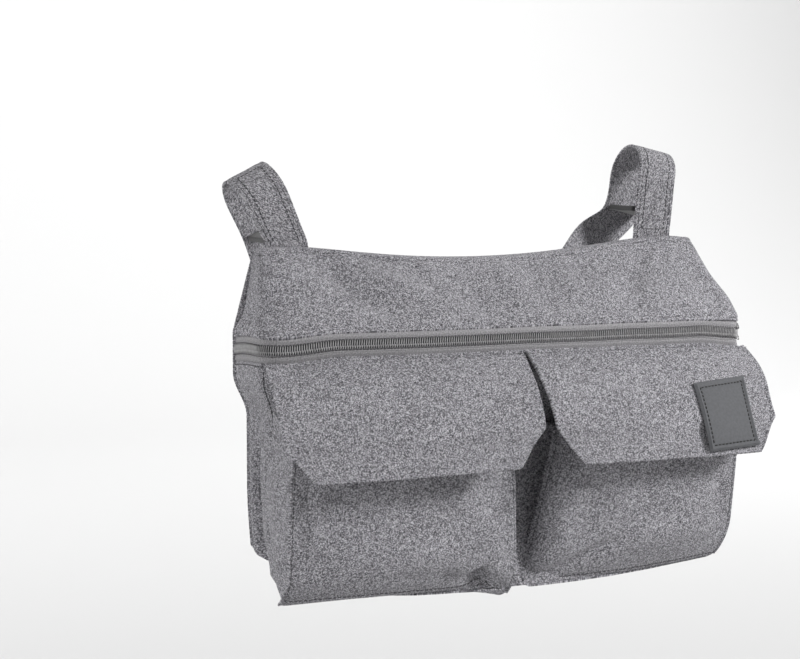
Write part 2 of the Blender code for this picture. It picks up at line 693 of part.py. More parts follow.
def make_tabs(group, black):
    """Closing tab under each loop, between its front and rear stretches."""
    for side in ("left", "right"):
        centre, along, across = loop_frame(side)
        low = -LOOP_RADIUS - TAB_DROP - TAB
        drop = centre.z - top_height(LOOPS[side]["base_x"]) - STRAP_RISE
        # The front stretch slants from the seam to the loop, so the tab ends where it is at that height
        lean = (LOOP_RADIUS - BAR_Y - CLOTH - GAP) * (TAB - low) / drop
        near, far = -LOOP_RADIUS + lean + 2 * GAP, LOOP_RADIUS - 2 * GAP

        def tab(u, v, centre=centre, along=along, across=across, near=near, far=far, low=low):
            spread = along * TAB_WIDTH * (u - 0.5) + Vector((0, mix(far, near, v), 0))
            return centre + spread + across * low

        panel(group, side + "_loop_tab", black, 1, 4, tab, TAB, sewn=False)


def main():
    group = new_collection()
    finish = make_materials()
    make_pouch(group, finish["body_cloth"])
    make_zip(group, finish["zip_tape"], finish["zip_teeth"])
    make_slider(group, finish["zip_metal"])
    make_puller(group, finish["zip_metal"])
    for side in POCKETS:
        make_pocket(group, finish["body_cloth"], side)
    make_flaps(group, finish["body_cloth"], finish["label_rubber"])
    make_strap(group, finish["strap_cloth"])
    make_tabs(group, finish["black_tab"])


main()
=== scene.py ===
"""Looks of the organizer bag: finely gridded cloth with its folds, stitching, zip coil and finishes."""
import math

import bmesh
import bpy
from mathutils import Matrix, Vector, noise


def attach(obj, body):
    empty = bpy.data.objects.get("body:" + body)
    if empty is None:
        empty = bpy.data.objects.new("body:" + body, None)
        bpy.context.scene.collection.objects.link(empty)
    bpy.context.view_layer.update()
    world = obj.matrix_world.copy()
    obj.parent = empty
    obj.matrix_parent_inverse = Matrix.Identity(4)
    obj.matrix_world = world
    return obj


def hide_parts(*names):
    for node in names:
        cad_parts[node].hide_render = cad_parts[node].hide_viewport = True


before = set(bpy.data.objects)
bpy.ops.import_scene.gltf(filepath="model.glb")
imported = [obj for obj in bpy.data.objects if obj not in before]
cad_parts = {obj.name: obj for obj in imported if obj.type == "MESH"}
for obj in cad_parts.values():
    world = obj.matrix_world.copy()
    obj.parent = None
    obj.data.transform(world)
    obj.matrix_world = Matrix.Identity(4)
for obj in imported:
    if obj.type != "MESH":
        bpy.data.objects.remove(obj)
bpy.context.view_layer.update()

MM = 0.001
BODY = "bag"

# Sizes shared with the solids, in millimetres; heights are above the pockets' lower edge
CLOTH, GAP, TAPE = 2.0, 0.3, 0.8
BAR_HEIGHT, BAR_Y, LOOP_RADIUS = 245.0, 12.0, 17.5
ORIGIN = Vector((0, BAR_Y, BAR_HEIGHT))
STRAP_WIDTH, STRAP, STRAP_TUCK = 28.0, 2.0, 9.0
STRAP_RISE, STRAP_BEHIND = 2.0, 1.5
TAB_WIDTH, TAB, TAB_DROP = 22.0, 4.0, 4.0
TOP_HEIGHT, TOP_SAG, TOP_CORNER_DROP = 216.0, 16.0, 8.0
ZIP_HEIGHT, ZIP_DROOP, ZIP_WINDOW = 150.0, 3.0, 8.0
BACK_BOTTOM_HEIGHT = 22.0
TOP_HALF_WIDTH, ZIP_HALF_WIDTH = 152.0, 168.0
WAIST_HALF_WIDTH, BOTTOM_HALF_WIDTH = 159.0, 156.0
ZIP_DEPTH, WAIST_DEPTH, BOTTOM_DEPTH = 50.0, 42.0, 52.0
TOP_DEPTH = 2 * CLOTH + STRAP + 2 * GAP
ZIP_BULGE, WAIST_BULGE, BOTTOM_BULGE = 22.0, 12.0, 8.0
WAIST_LOW, WAIST_HIGH = 60.0, 105.0
CORNER_RADIUS, GUSSET_FOLD, FOLD_MARGIN = 12.0, 13.0, 0.18
SIDE_SHARE, ARC_SHARE, SEAM_SHARE = 0.15, 0.10, 0.20
LOW_SAG, LOW_SAG_END = 8.0, 110.0
RIGHT_REACH, RIGHT_START, REACH_LOW = 11.0, 60.0, 100.0
TAPE_HALF, COIL_HALF = 14.0, 3.0
BAND_LOW = ZIP_HEIGHT - TAPE_HALF - ZIP_DROOP - 1
YOKE_LOW = ZIP_HEIGHT + ZIP_WINDOW
POCKET_TOP, POCKET_BOTTOM_Y, POCKET_TOP_Y = 84.0, -68.0, -88.0
POCKET_PUFF, POCKET_CORNER, POCKET_CLOTH = 5.0, 7.0, 1.6
FLAP_TOP = ZIP_HEIGHT - ZIP_WINDOW
FLAP_OUT_TOP, FLAP_OUT_WIDE, FLAP_OUT_BOTTOM = 166.0, 172.0, 156.0
FLAP_IN_TOP, FLAP_IN_WIDE, FLAP_IN_BOTTOM = 1.5, 4.0, 23.0
FLAP_CHAMFER_OUT, FLAP_CHAMFER_IN = 97.0, 101.0
FLAP_BOTTOM_OUT, FLAP_BOTTOM_IN = 76.0, 79.0
FLAP_CHAMFER_DEPTH, FLAP_BOTTOM_DEPTH, FLAP_BOTTOM_BULGE = 99.0, 106.0, 8.0
PATCH_WIDTH, PATCH_HEIGHT, PATCH = 36.0, 40.0, 1.4
POCKETS = {
    "left": {"low": (-160.0, -5.0), "high": (-164.0, -18.0)},
    "right": {"low": (6.0, 156.0), "high": (20.0, 151.0)},
}
LOOPS = {
    "left": {"x": -146.0, "tilt": 26.0, "rise": -5.0, "base_x": -132.0},
    "right": {"x": 136.0, "tilt": -14.0, "rise": 5.0, "base_x": 134.0},
}

# Rough sizes of the pieces, which turn shares of them into distances from their edges
YOKE_TALL, GUSSET_WIDE, BACK_WIDE, BACK_TALL = 58.0, 55.0, 330.0, 190.0
POCKET_WIDE, FLAP_WIDE, FLAP_TALL = 150.0, 165.0, 85.0

# Looks
LIFT_SPREAD = 0.02      # the zip's lift grows by this for each millimetre below its middle
TAPE_SEEN = 11.0        # the tapes end here behind the cloth
TAPE_EDGE = 0.1         # and start here beside the coil's middle
TAPE_BEHIND = 1.5       # they lie this far inside the cloth's face
TAPE_WELT = 5.6         # place of the raised line along each tape
COIL_PROUD = 1.2        # the coil stands this far in front of them
CORE_PROUD = 0.6
POCKET_ROLL = {"left": (17.0, 14.0), "right": (30.0, 15.0)}     # height and depth of the lower edge's roll
FLAP_CHAMFER_V = 0.25   # share of a flap's height that its chamfers take
FLAP_WRAP = 3.0         # how far the left flap's outer edge wraps back round the corner
WRAP_SHARE = 0.07       # share of its width that does
BELLY = 6.0             # how far the left pocket's filled middle stands out
LEFT_ROLL = 15.0        # how far the right pocket's left edge rolls backwards
LEFT_ROLL_SHARE = 0.17
POCKET_HIGH = 97.0      # the mouths reach this high under the flaps
INNER_REACH = 3.5       # the left pocket's inner edge overhangs its strip
CORNER_HANG = 7.0       # how far its outer lower corner hangs down
INNER_HANG = 6.0        # and its inner lower corner
STRIP_INSET = 6.0       # the left strip's upper end lies this far in behind the flap
STRIP_CLIMB = 14.0      # the left strip's far side climbs this far behind the flap's edge
SLIT_SHARE = 0.3        # share of the left strip that folds in right behind the front
SLIT_DEPTH = 13.0       # and how deep
STRIP_TUCK = 10.0       # how deep a strip folds in behind the front
MOUTH_TUCK = 15.0       # and at the mouth
STRIP_RIDGE = 3.0       # ridge of the strip beside the pouch
STRIP_CLOTH = 1.2
PATCH_LOW = ((114.0, 79.5), (154.0, 80.5))      # lower corners across and up, left and right
PATCH_TOP = ((109.0, 119.5), (148.5, 121.5))
PATCH_SEWN = 3.4        # its stitches run this far inside its edge
SEWN_BOX = (1.3, 7.2)   # the sewn rectangle on each front stretch of the strap, in steps of the route
STEP = 2.2              # size of a cloth grid's cells
STITCH_PITCH, STITCH_LENGTH, STITCH_RADIUS = 3.1, 2.3, 0.36
TOOTH_PITCH, TOOTH_RADIUS = 1.5, 0.4

# Bow behind the bag: steps across, behind and up, and width direction, from each loop's rear end
BOW_LEFT = [(4, 10, -30, (1, 0, 0.2)), (14, 0, -66, (0.9, 0, 0.4)), (44, 0, -98, (0.6, 0, 0.8)),
            (86, 0, -108, (0.05, 0, 1)), (130, 0, -92, (-0.45, 0, 0.9))]
BOW_RIGHT = [(-66, 3, -50, (-0.6, 0, 0.8)), (-28, 20.7, -19, (-0.7, 0, 0.72))]


def ease(stops, at):
    """Value at a place between stops, a list of (place, value), with soft turns at each stop."""
    if at <= stops[0][0]:
        return stops[0][1]
    for (low, first), (high, second) in zip(stops, stops[1:]):
        if at <= high:
            share = (at - low) / (high - low)
            share = share * share * (3 - 2 * share)
            return first + (second - first) * share
    return stops[-1][1]


def mix(first, second, share):
    return first + (second - first) * share


def crown(x, half):
    return max(0.0, 1.0 - (x / half) ** 2)


def above_zip(height, low, high):
    """Straight blend from the zip's upper edge to the top seam."""
    share = (height - YOKE_LOW) / (TOP_HEIGHT - YOKE_LOW)
    return mix(low, high, max(0.0, min(1.0, share)))


def half_width(height):
    if height > YOKE_LOW:
        return above_zip(height, ZIP_HALF_WIDTH, TOP_HALF_WIDTH)
    return ease([(0, BOTTOM_HALF_WIDTH), (WAIST_LOW, WAIST_HALF_WIDTH), (WAIST_HIGH, WAIST_HALF_WIDTH),
                 (BAND_LOW, ZIP_HALF_WIDTH)], height)


def depth(height):
    if height > YOKE_LOW:
        return above_zip(height, ZIP_DEPTH, TOP_DEPTH)
    return ease([(0, BOTTOM_DEPTH), (WAIST_LOW, WAIST_DEPTH), (WAIST_HIGH, WAIST_DEPTH),
                 (BAND_LOW, ZIP_DEPTH)], height)


def bulge(height):
    return ease([(0, BOTTOM_BULGE), (WAIST_LOW, WAIST_BULGE), (BAND_LOW, ZIP_BULGE), (YOKE_LOW, ZIP_BULGE),
                 (TOP_HEIGHT, 0)], height)


def gusset_fold(height):
    return ease([(0, 3), (34, GUSSET_FOLD), (66, GUSSET_FOLD - 3), (100, 2), (BAND_LOW, 0)], height)


def crease(share):
    inner = max(0.0, min(1.0, (share - FOLD_MARGIN) / (1 - 2 * FOLD_MARGIN)))
    return math.sin(math.pi * inner) ** 2


def bottom_height(y):
    return mix(BACK_BOTTOM_HEIGHT, 0.0, min(1.0, -y / BOTTOM_DEPTH))


def top_height(x):
    across = min(1.0, abs(x) / TOP_HALF_WIDTH)
    return TOP_HEIGHT - TOP_SAG * (1 - across ** 2) - TOP_CORNER_DROP * across ** 8


def front_y(x, height):
    return -depth(height) - bulge(height) * crown(x, half_width(height))


def around(share, height, inset=0.0):
    """Point on the pouch at a share of the way round: left side, front, right side; inset goes inwards."""
    near = min(share, 1 - share)
    half = half_width(height) - inset
    front = -depth(height) + inset
    back = -CLOTH - GAP
    radius = max(0.5, min(CORNER_RADIUS - inset, 0.45 * (back - front)))
    if near < SIDE_SHARE:
        along = near / SIDE_SHARE
        x = -half + gusset_fold(height) * crease(along)
        y = mix(back, front + radius, along)
    elif near < SIDE_SHARE + ARC_SHARE:
        angle = (near - SIDE_SHARE) / ARC_SHARE * math.pi / 2
        x = -half + radius * (1 - math.cos(angle))
        y = front + radius - radius * math.sin(angle)
        y -= bulge(height) * crown(x, half)
    else:
        along = (near - SIDE_SHARE - ARC_SHARE) / (0.5 - SIDE_SHARE - ARC_SHARE)
        x = -(half - radius) * (1 - along)
        y = front - bulge(height) * crown(x, half)
    return Vector((-x if share > 0.5 else x, y, height))


def zip_lift(share):
    """The zip rises a little along the front, droops at the right corner and is level on the sides."""
    return ease([(0.25, 0), (0.31, 3.1), (0.5, 3.1), (0.6, 2.2), (0.7, 0.8), (0.76, -2.5), (0.8, -4.0),
                 (0.855, 0)], share)


def zip_height(share, offset):
    near = min(share, 1 - share)
    droop = ZIP_DROOP * max(0.0, 1 - near / SIDE_SHARE) ** 2
    return ZIP_HEIGHT + offset - droop + zip_lift(share) * (1 - LIFT_SPREAD * offset)


def front_share(x):
    """Share of the way round at a place across the front."""
    return 0.5 + (0.5 - SIDE_SHARE - ARC_SHARE) * x / (ZIP_HALF_WIDTH - CORNER_RADIUS)


def settle(point):
    """Slump of the filled pouch, the same for all the cloth that is sewn together."""
    x, y, height = point
    sag = LOW_SAG * crown(x, ZIP_HALF_WIDTH) * ease([(0, 1), (LOW_SAG_END, 0)], height)
    rise = ease([(REACH_LOW, 0), (BAND_LOW, 1), (YOKE_LOW, 1), (TOP_HEIGHT, 0.6)], height)
    reach = RIGHT_REACH * rise * ease([(RIGHT_START, 0), (ZIP_HALF_WIDTH - CORNER_RADIUS, 1)], x)
    return Vector((x + reach, y, height - sag))


def pocket_edges(side, height):
    sizes = POCKETS[side]
    share = max(0.0, min(1.0, height / POCKET_TOP))
    return [mix(low, high, share) for low, high in zip(sizes["low"], sizes["high"])]


def pocket_front_y(across, height):
    share = max(0.0, min(1.0, height / POCKET_TOP))
    return mix(POCKET_BOTTOM_Y, POCKET_TOP_Y, share) - POCKET_PUFF * 4 * across * (1 - across)


def flap_surface(x, height):
    """Outer face of both flaps at a place: on the pouch at the top, standing off towards the lower edge."""
    top_y = depth(FLAP_TOP) + CLOTH - GAP
    side_y = ease([(FLAP_BOTTOM_OUT, FLAP_BOTTOM_DEPTH), (FLAP_CHAMFER_OUT, FLAP_CHAMFER_DEPTH)], height)
    if height > FLAP_CHAMFER_OUT:
        share = (height - FLAP_CHAMFER_OUT) / (FLAP_TOP - FLAP_CHAMFER_OUT)
        side_y = mix(FLAP_CHAMFER_DEPTH, top_y, share ** 1.35)
    swell = ease([(FLAP_BOTTOM_OUT, FLAP_BOTTOM_BULGE), (FLAP_TOP, ZIP_BULGE)], height)
    return Vector((x, -side_y - swell * crown(x, ZIP_HALF_WIDTH), height))


def flap_point(side, u, v):
    """Outer face of a flap; u runs from its left edge to its right, v from its lower edge to its top."""
    outer = u if side == "right" else 1 - u
    if v < FLAP_CHAMFER_V:
        share = v / FLAP_CHAMFER_V
        outer_x = mix(FLAP_OUT_BOTTOM, FLAP_OUT_WIDE, share)
        inner_x = mix(FLAP_IN_BOTTOM, FLAP_IN_WIDE, share)
        outer_h = mix(FLAP_BOTTOM_OUT, FLAP_CHAMFER_OUT, share)
        inner_h = mix(FLAP_BOTTOM_IN, FLAP_CHAMFER_IN, share)
    else:
        share = (v - FLAP_CHAMFER_V) / (1 - FLAP_CHAMFER_V)
        outer_x = mix(FLAP_OUT_WIDE, FLAP_OUT_TOP, share ** 1.6)
        inner_x = mix(FLAP_IN_WIDE, FLAP_IN_TOP, share)
        outer_h = mix(FLAP_CHAMFER_OUT, FLAP_TOP, share)
        inner_h = mix(FLAP_CHAMFER_IN, FLAP_TOP, share)
    x = mix(inner_x, outer_x, outer)
    x = x if side == "right" else -x
    point = flap_surface(x, mix(inner_h, outer_h, outer))
    point.z += zip_lift(front_share(x)) * (1 + LIFT_SPREAD * ZIP_WINDOW) * v * v
    if side == "left":
        near_edge = max(0.0, (outer - 1 + WRAP_SHARE) / WRAP_SHARE)
        point.y += FLAP_WRAP * near_edge ** 2 * ease([(0.2, 0), (0.5, 1), (1, 0.2)], v)
    return point


# Materials


def nodes_of(name):
    """New material, its node tree and its shader."""
    material = bpy.data.materials.new(name)
    material.use_nodes = True
    tree = material.node_tree
    return material, tree, tree.nodes["Principled BSDF"]


def add(tree, kind, **inputs):
    """Add a node; keyword names are its properties, or its inputs when they start with i_."""
    node = tree.nodes.new(kind)
    for key, value in inputs.items():
        if key.startswith("i_"):
            label = key[2:]
            socket = node.inputs[int(label) if label.isdigit() else label.replace("_", " ")]
            if isinstance(value, bpy.types.NodeSocket):
                tree.links.new(value, socket)
            else:
                socket.default_value = value
        else:
            setattr(node, key, value)
    return node


def math_node(tree, operation, first, second=0.0):
    return add(tree, "ShaderNodeMath", operation=operation, i_0=first, i_1=second).outputs[0]


def ramp(tree, factor, stops):
    """Colour ramp from a list of (place, colour)."""
    node = add(tree, "ShaderNodeValToRGB", i_0=factor)
    elements = node.color_ramp.elements
    while len(elements) < len(stops):
        elements.new(0.5)
    for element, (place, color) in zip(elements, stops):
        element.position = place
        element.color = (*color, 1.0)
    return node.outputs[0]


def cloth_coordinates(tree, across, along):
    """The cloth's own UV, counted in cells of the given size in millimetres."""
    uv = add(tree, "ShaderNodeUVMap").outputs[0]
    mapping = add(tree, "ShaderNodeMapping", i_Vector=uv)
    mapping.inputs["Scale"].default_value = (1000 / across, 1000 / along, 1)
    return mapping.outputs[0]


def cell_noise(tree, across, along):
    """Random value for each cell of two numbers."""
    cell = add(tree, "ShaderNodeCombineXYZ", i_0=math_node(tree, "FLOOR", across),
               i_1=math_node(tree, "FLOOR", along)).outputs[0]
    return add(tree, "ShaderNodeTexWhiteNoise", noise_dimensions="2D", i_Vector=cell).outputs[0]


def melange(name, dark, middle, light, yarn=0.56, dash=1.3):
    """Plain weave of light warp and dark weft, whose shades change along each yarn in short dashes."""
    warp_shift, weft_shift, warp_lightness, other_cells = 0.377, 0.613, 0.25, (500.0, 900.0)
    material, tree, shader = nodes_of(name)
    across, along = add(tree, "ShaderNodeSeparateXYZ", i_0=cloth_coordinates(tree, yarn, yarn)).outputs[:2]
    column, row = math_node(tree, "FLOOR", across), math_node(tree, "FLOOR", along)
    parity = math_node(tree, "MODULO", math_node(tree, "ADD", column, row), 2.0)
    warp_place = math_node(tree, "ADD", math_node(tree, "DIVIDE", along, dash),
                           math_node(tree, "MULTIPLY", column, warp_shift))
    weft_place = math_node(tree, "ADD", math_node(tree, "DIVIDE", across, dash),
                           math_node(tree, "MULTIPLY", row, weft_shift))
    warp = cell_noise(tree, across, warp_place)
    weft = cell_noise(tree, math_node(tree, "ADD", weft_place, other_cells[0]), along)
    dark_yarn, light_yarn = [math_node(tree, "MULTIPLY", yarns, 1 - warp_lightness)
                             for yarns in (weft, warp)]
    light_yarn = math_node(tree, "ADD", light_yarn, warp_lightness)
    woven = math_node(tree, "ADD", math_node(tree, "MULTIPLY", light_yarn, parity),
                      math_node(tree, "MULTIPLY", dark_yarn, math_node(tree, "SUBTRACT", 1.0, parity)))
    speck = cell_noise(tree, math_node(tree, "ADD", across, other_cells[1]), along)
    blend = math_node(tree, "ADD", math_node(tree, "MULTIPLY", woven, 0.5),
                      math_node(tree, "MULTIPLY", speck, 0.5))
    color = ramp(tree, blend, [(0.14, dark), (0.47, middle), (0.85, light)])
    broad = add(tree, "ShaderNodeTexNoise", noise_dimensions="2D", i_Scale=1.0, i_Detail=3.0,
                i_Vector=cloth_coordinates(tree, 30.0, 30.0)).outputs[0]
    shade = ramp(tree, broad, [(0.3, (0.93, 0.93, 0.93)), (0.7, (1.0, 1.0, 1.0))])
    tinted = add(tree, "ShaderNodeMix", data_type="RGBA", blend_type="MULTIPLY")
    tinted.inputs[0].default_value = 1.0
    tree.links.new(color, tinted.inputs[6])
    tree.links.new(shade, tinted.inputs[7])
    tree.links.new(tinted.outputs[2], shader.inputs["Base Color"])
    humps = []
    for place in (across, along):
        wave = math_node(tree, "SINE", math_node(tree, "MULTIPLY", place, math.pi))
        humps.append(math_node(tree, "ABSOLUTE", wave))
    relief = math_node(tree, "ADD", math_node(tree, "MULTIPLY", humps[0], humps[1]),
                       math_node(tree, "MULTIPLY", blend, 0.8))
    bump = add(tree, "ShaderNodeBump", i_Strength=0.6, i_Distance=0.0003, i_Height=relief)
    tree.links.new(bump.outputs[0], shader.inputs["Normal"])
    shader.inputs["Roughness"].default_value = 0.92
    shader.inputs["Specular IOR Level"].default_value = 0.2
    shader.inputs["Sheen Weight"].default_value = 0.1
    shader.inputs["Sheen Roughness"].default_value = 0.55
    return material


def woven_tape(name, dark, light):
    """Fine plain weave of the zip's tape."""
    material, tree, shader = nodes_of(name)
    waves = []
    for size in ((0.9, 400.0), (400.0, 0.9)):
        split = add(tree, "ShaderNodeSeparateXYZ", i_0=cloth_coordinates(tree, *size)).outputs
        total = math_node(tree, "ADD", split[0], split[1])
        waves.append(math_node(tree, "SINE", math_node(tree, "MULTIPLY", total, 2 * math.pi)))
    weave = math_node(tree, "MULTIPLY", waves[0], waves[1])
    grain = add(tree, "ShaderNodeTexNoise", noise_dimensions="2D", i_Scale=1.0, i_Detail=3.0,
                i_Vector=cloth_coordinates(tree, 0.9, 0.9)).outputs[0]
    factor = math_node(tree, "ADD", math_node(tree, "MULTIPLY", weave, 0.12), grain)
    tree.links.new(ramp(tree, factor, [(0.3, dark), (0.72, light)]), shader.inputs["Base Color"])
    bump = add(tree, "ShaderNodeBump", i_Strength=0.4, i_Distance=0.0002, i_Height=factor)
    tree.links.new(bump.outputs[0], shader.inputs["Normal"])
    shader.inputs["Roughness"].default_value = 0.85
    shader.inputs["Specular IOR Level"].default_value = 0.25
    return material


def grainy(name, dark, light, roughness, size, strength=0.25, metallic=0.0, sheen=0.0):
    """Moulded rubber, plastic, thread or metal: fine grain in colour, gloss and bump."""
    material, tree, shader = nodes_of(name)
    place = add(tree, "ShaderNodeTexCoord").outputs["Object"]
    grain = add(tree, "ShaderNodeTexNoise", i_Scale=1000 / size, i_Detail=4.0, i_Vector=place).outputs[0]
    tree.links.new(ramp(tree, grain, [(0.32, dark), (0.7, light)]), shader.inputs["Base Color"])
    gloss = math_node(tree, "MULTIPLY_ADD", grain, 0.2)
    tree.nodes[-1].inputs[2].default_value = roughness - 0.1
    tree.links.new(gloss, shader.inputs["Roughness"])
    bump = add(tree, "ShaderNodeBump", i_Strength=strength, i_Distance=0.0002, i_Height=grain)
    tree.links.new(bump.outputs[0], shader.inputs["Normal"])
    shader.inputs["Metallic"].default_value = metallic
    shader.inputs["Sheen Weight"].default_value = sheen
    return material


def make_materials():
    return {
        "body_cloth": melange("body_cloth_look", (0.02, 0.0195, 0.0225), (0.2, 0.195, 0.213),
                              (0.7, 0.69, 0.73)),
        "strap_cloth": melange("strap_cloth_look", (0.02, 0.0195, 0.0225), (0.195, 0.19, 0.208),
                               (0.68, 0.67, 0.7), yarn=0.55),
        "zip_tape": woven_tape("zip_tape_look", (0.2, 0.196, 0.203), (0.4, 0.392, 0.404)),
        "zip_core": grainy("zip_core_look", (0.014,) * 3, (0.03,) * 3, 0.7, 1.5),
        "zip_teeth": grainy("zip_teeth_look", (0.3, 0.295, 0.3), (0.42, 0.415, 0.42), 0.38, 2.5),
        "thread": grainy("thread_look", (0.035, 0.034, 0.037), (0.075, 0.073, 0.08), 0.75, 0.6),
        "dark_thread": grainy("dark_thread_look", (0.012,) * 3, (0.035,) * 3, 0.7, 0.6),
        "label_rubber": grainy("label_rubber_look", (0.085, 0.087, 0.094), (0.112, 0.114, 0.122),
                               0.78, 1.6, 0.2),
        "black_tab": grainy("black_tab_look", (0.008,) * 3, (0.03,) * 3, 0.8, 0.7, 0.9, sheen=0.3),
        "zip_metal": grainy("zip_metal_look", (0.14,) * 3, (0.24,) * 3, 0.36, 3.0, 0.1, metallic=1.0),
    }


# Cloth pieces


def normal_at(place, u, v):
    """Outward normal of a surface laid out by place(u, v)."""
    step = 0.004
    across = place(min(1, u + step), v) - place(max(0, u - step), v)
    up = place(u, min(1, v + step)) - place(u, max(0, v - step))
    return across.cross(up).normalized()


def ripple(point, size, seed):
    """Smooth noise between -1 and 1 over a length in millimetres."""
    return noise.noise(Vector(point) / size + Vector((seed * 7.3, seed * 3.1, seed * 5.7)))


def fold_line(x, height, fold):
    """Height of a soft fold along a segment: (x1, h1, x2, h2, millimetres, half width)."""
    x1, h1, x2, h2, lift, width = fold
    dx, dh = x2 - x1, h2 - h1
    length = math.hypot(dx, dh)
    along = ((x - x1) * dx + (height - h1) * dh) / length ** 2
    off = ((x - x1) * dh - (height - h1) * dx) / length
    fade = math.exp(-max(0.0, abs(along - 0.5) - 0.35) ** 2 / 0.04)
    return lift * fade * math.exp(-(off / width) ** 2)


def finished(place, relief=None, sewn=True):
    """A surface with its slump and its folds: the function that mesh and stitches both read."""
    def laid(u, v):
        point = Vector(place(u, v))
        return settle(point) if sewn else point

    def raised(u, v):
        point = laid(u, v)
        if relief is None:
            return point
        return point + normal_at(laid, u, v) * relief(u, v, point)

    return raised


def length_of(place, start, end, count=24):
    """Length of a line on a surface between two (u, v) places."""
    shares = [k / count for k in range(count + 1)]
    points = [place(mix(start[0], end[0], share), mix(start[1], end[1], share)) for share in shares]
    return sum((b - a).length for a, b in zip(points, points[1:]))


def cloth(name, place, material, thickness, step=STEP, replaces=(), body=BODY, rim=0.7,
          columns=None, rows=None, even=True):
    """Sheet of cloth from a finished surface: fine grid, real-size UV, thickness and rounded edges."""
    columns = columns or max(2, round(length_of(place, (0, 0.5), (1, 0.5)) / step))
    rows = rows or max(2, round(length_of(place, (0.5, 0), (0.5, 1)) / step))
    points = [[place(i / columns, j / rows) for j in range(rows + 1)] for i in range(columns + 1)]
    middle = rows // 2
    across, travelled = [0.0], 0.0
    for first, second in zip(points, points[1:]):
        travelled += (second[middle] - first[middle]).length
        across.append(travelled)
    grid = bmesh.new()
    layer = grid.loops.layers.uv.new("UVMap")
    bmesh.ops.create_grid(grid, x_segments=columns, y_segments=rows, size=0.5)
    along = []
    for column in points:
        lengths, travelled = [0.0], 0.0
        for first, second in zip(column, column[1:]):
            travelled += (second - first).length
            lengths.append(travelled)
        along.append([length - lengths[middle] for length in lengths])
    shares = {}
    for vertex in grid.verts:
        i, j = round((vertex.co.x + 0.5) * columns), round((vertex.co.y + 0.5) * rows)
        shares[vertex] = (across[i] * MM, along[i][j] * MM + 1)
        vertex.co = (points[i][j] - ORIGIN) * MM
    for face in grid.faces:
        for loop in face.loops:
            loop[layer].uv = shares[loop.vert]
    mesh = bpy.data.meshes.new(name)
    grid.to_mesh(mesh)
    grid.free()
    mesh.shade_smooth()
    piece = bpy.data.objects.new(name, mesh)
    bpy.context.scene.collection.objects.link(piece)
    mesh.materials.append(material)
    shell = piece.modifiers.new("cloth", "SOLIDIFY")
    shell.thickness = thickness * MM
    shell.offset = -1.0
    shell.use_even_offset = even
    if rim:
        edge = piece.modifiers.new("rim", "BEVEL")
        edge.width = min(rim, 0.45 * thickness) * MM
        edge.segments = 3
        edge.limit_method = "ANGLE"
        edge.angle_limit = math.radians(60)
    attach(piece, body)
    if replaces:
        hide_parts(*replaces)
    return piece


def capsules(name, spans, radius, material, body=BODY, sides=6, flat=1.0):
    """One mesh of many short rounded rods: spans are (start, end, up) in millimetres."""
    mesh = bmesh.new()
    rings = [(0.0, 0.35), (0.12, 0.85), (0.5, 1.0), (0.88, 0.85), (1.0, 0.35)]
    for start, end, up in spans:
        axis = (end - start)
        side = axis.cross(up).normalized()
        up = side.cross(axis).normalized()
        loops = []
        for share, size in rings:
            centre = start + axis * share
            loop = []
            for k in range(sides):
                angle = 2 * math.pi * k / sides
                point = centre + (side * math.cos(angle) + up * flat * math.sin(angle)) * radius * size
                loop.append(mesh.verts.new((point - ORIGIN) * MM))
            loops.append(loop)
        for first, second in zip(loops, loops[1:]):
            for k in range(sides):
                mesh.faces.new((first[k], first[(k + 1) % sides], second[(k + 1) % sides], second[k]))
        mesh.faces.new(loops[0][::-1])
        mesh.faces.new(loops[-1])
    bmesh.ops.recalc_face_normals(mesh, faces=mesh.faces)
    data = bpy.data.meshes.new(name)
    mesh.to_mesh(data)
    mesh.free()
    data.shade_smooth()
    data.materials.append(material)
    piece = bpy.data.objects.new(name, data)
    bpy.context.scene.collection.objects.link(piece)
    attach(piece, body)
    return piece


def walk(place, corners, pitch):
    """Even steps along a line of (u, v) corners on a surface: points with their normals."""
    fine = []
    for (u1, v1), (u2, v2) in zip(corners, corners[1:]):
        count = max(4, int(length_of(place, (u1, v1), (u2, v2), 12) / 1.5))
        fine += [(mix(u1, u2, k / count), mix(v1, v2, k / count)) for k in range(count)]
    fine.append(corners[-1])
    points = [place(u, v) for u, v in fine]
    steps, travelled = [], 0.0
    target = pitch / 2
    for index in range(len(points) - 1):
        length = (points[index + 1] - points[index]).length
        while travelled + length >= target:
            share = (target - travelled) / length
            u = mix(fine[index][0], fine[index + 1][0], share)
            v = mix(fine[index][1], fine[index + 1][1], share)
            steps.append((points[index].lerp(points[index + 1], share), normal_at(place, u, v)))
            target += pitch
        travelled += length
    return steps


def stitch_spans(place, corners, pitch=STITCH_PITCH, length=STITCH_LENGTH, lift=0.12):
    """Stitches along a line of (u, v) corners on a surface."""
    steps = walk(place, corners, pitch)
    spans = []
    for index, (point, normal) in enumerate(steps):
        neighbour = steps[min(index + 1, len(steps) - 1)][0]
        before = steps[max(index - 1, 0)][0]
        direction = (neighbour - before).normalized()
        middle = point + normal * lift
        spans.append((middle - direction * length / 2, middle + direction * length / 2, normal))
    return spans


def groove(distance, at, deep, width=0.9):
    """Dent of a line sewn at a distance from an edge."""
    return -deep * math.exp(-((distance - at) / width) ** 2)


def frame_line(inset_u, inset_v):
    """Corners of a closed line inside a piece's four edges."""
    far_u, far_v = 1 - inset_u, 1 - inset_v
    return [(inset_u, inset_v), (far_u, inset_v), (far_u, far_v), (inset_u, far_v), (inset_u, inset_v)]


